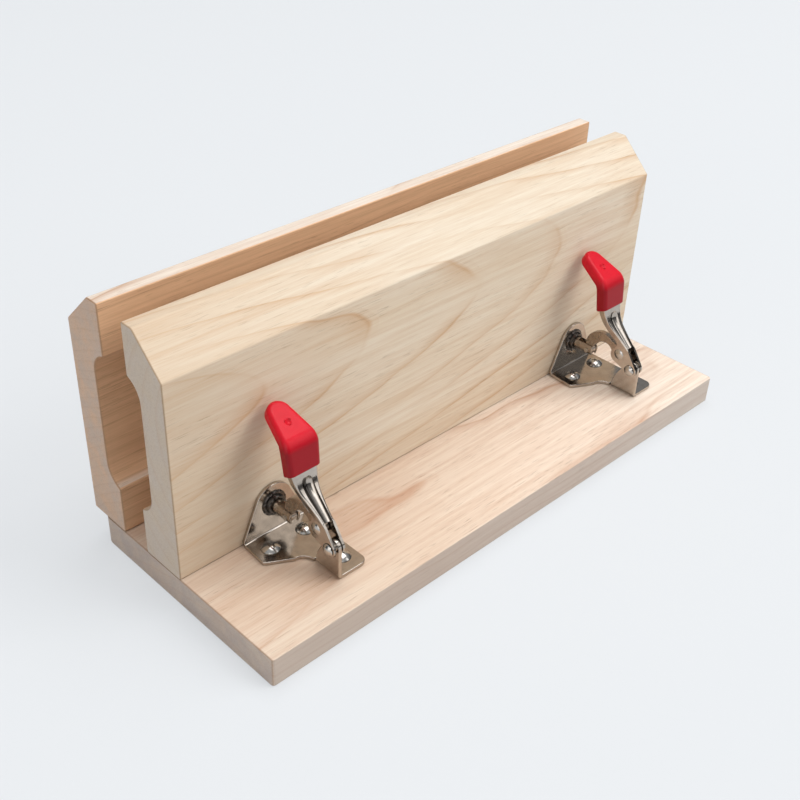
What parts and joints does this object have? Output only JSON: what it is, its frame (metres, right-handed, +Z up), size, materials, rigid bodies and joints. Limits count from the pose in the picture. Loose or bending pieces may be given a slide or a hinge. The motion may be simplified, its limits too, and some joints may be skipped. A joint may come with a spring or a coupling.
{
  "type": "leather stitching pony clamp",
  "caption": "Bench-top stitching clamp with a fixed and a sliding wooden jaw on a flat board, drawn together by push-pull toggle clamps with red grips.",
  "frame": {"origin": "middle of the underside of the base board", "axes": "+X along the jaws, +Y from the clamps towards the sliding rear jaw, +Z up"},
  "size_m": [0.41, 0.1691, 0.1739],
  "materials": {
    "base_wood": "sanded, unvarnished, pinkish hardwood",
    "jaw_wood": "sanded, unvarnished, pale hardwood",
    "plated_steel": "bright warm nickel plate",
    "dark_steel": "dark plated steel",
    "screw_steel": "bright nickel plate",
    "insert_brass": "turned brass",
    "red_pvc": "glossy dipped vinyl"
  },
  "bodies": {
    "frame": {"base_board": "base_wood", "front_jaw": "jaw_wood", "jaw_screws": "screw_steel", "left_bracket": "plated_steel", "left_collar": "dark_steel", "left_bracket_screws": "screw_steel", "left_pivot_rivet": "screw_steel", "left_pivot_spacer": "screw_steel", "right_bracket": "plated_steel", "right_collar": "dark_steel", "right_bracket_screws": "screw_steel", "right_pivot_rivet": "screw_steel", "right_pivot_spacer": "screw_steel"},
    "sliding_jaw": {"rear_jaw": "jaw_wood", "left_plunger": "plated_steel", "left_plunger_pin": "screw_steel", "left_tie_bolt": "screw_steel", "left_washer": "screw_steel", "left_insert": "insert_brass", "right_plunger": "plated_steel", "right_plunger_pin": "screw_steel", "right_tie_bolt": "screw_steel", "right_washer": "screw_steel", "right_insert": "insert_brass"},
    "left_lever_body": {"left_lever": "plated_steel", "left_grip": "red_pvc", "left_crank_rivet": "screw_steel"},
    "left_link_body": {"left_link": "plated_steel"},
    "right_lever_body": {"right_lever": "plated_steel", "right_grip": "red_pvc", "right_crank_rivet": "screw_steel"},
    "right_link_body": {"right_link": "plated_steel"}
  },
  "joints": [
    {"name": "rear_jaw_slide", "type": "slide", "parent": "frame", "child": "sliding_jaw", "axis": [0, 1, 0], "range_m": [-0.02222, 0]},
    {"name": "left_lever_hinge", "type": "hinge", "parent": "frame", "child": "left_lever_body", "pos_m": [-0.139, -0.0533, 0.0424], "axis": [1, 0, 0], "range_deg": [0, 140.01]},
    {"name": "left_link_hinge", "type": "hinge", "parent": "left_lever_body", "child": "left_link_body", "pos_m": [-0.139, -0.04303, 0.05101], "axis": [1, 0, 0], "range_deg": [-122.5, 0]},
    {"name": "right_lever_hinge", "type": "hinge", "parent": "frame", "child": "right_lever_body", "pos_m": [0.139, -0.0533, 0.0424], "axis": [1, 0, 0], "range_deg": [0, 140.01]},
    {"name": "right_link_hinge", "type": "hinge", "parent": "right_lever_body", "child": "right_link_body", "pos_m": [0.139, -0.04303, 0.05101], "axis": [1, 0, 0], "range_deg": [-122.5, 0]}
  ],
  "couplings": [
    {"joint": "left_lever_hinge", "follows": "rear_jaw_slide", "rad_per_m": -109.97},
    {"joint": "left_link_hinge", "follows": "rear_jaw_slide", "rad_per_m": 96.211},
    {"joint": "right_lever_hinge", "follows": "rear_jaw_slide", "rad_per_m": -109.97},
    {"joint": "right_link_hinge", "follows": "rear_jaw_slide", "rad_per_m": 96.211}
  ]
}
